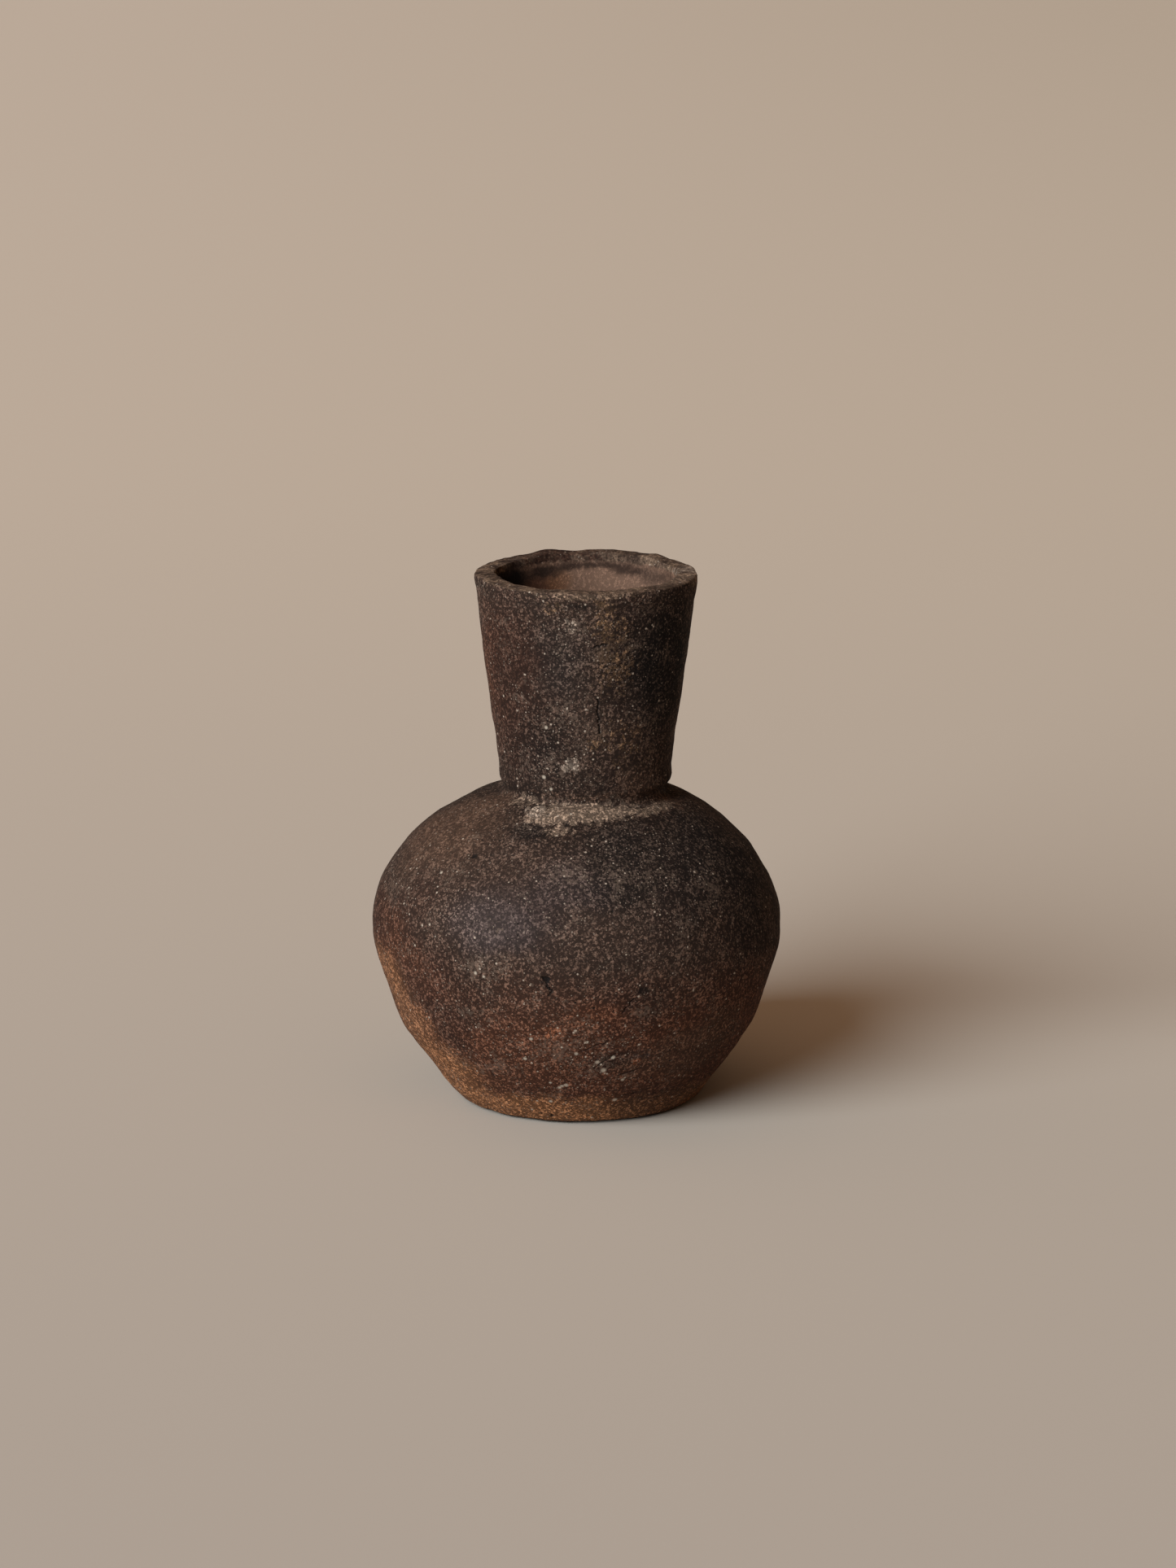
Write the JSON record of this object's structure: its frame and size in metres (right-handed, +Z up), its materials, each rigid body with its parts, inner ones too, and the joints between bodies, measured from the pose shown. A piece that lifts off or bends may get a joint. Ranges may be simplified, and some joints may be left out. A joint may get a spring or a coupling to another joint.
{
  "type": "vase",
  "caption": "Hand-built earthenware vase with a full squat body on a flat foot and a tall neck that opens towards a thick, uneven lip.",
  "frame": {"origin": "centre of the flat foot, on the plane that the vase stands on", "axes": "+Z up along the vase's height; +X to the right and -Y towards the viewer as the vase was seen"},
  "size_m": [0.1608, 0.1584, 0.2116],
  "materials": {
    "fired_clay": "matte unglazed clay, smoke-darkened above and red-brown to ochre towards the foot, with pale grit"
  },
  "bodies": {
    "root": {"vase": "fired_clay"}
  },
  "joints": []
}
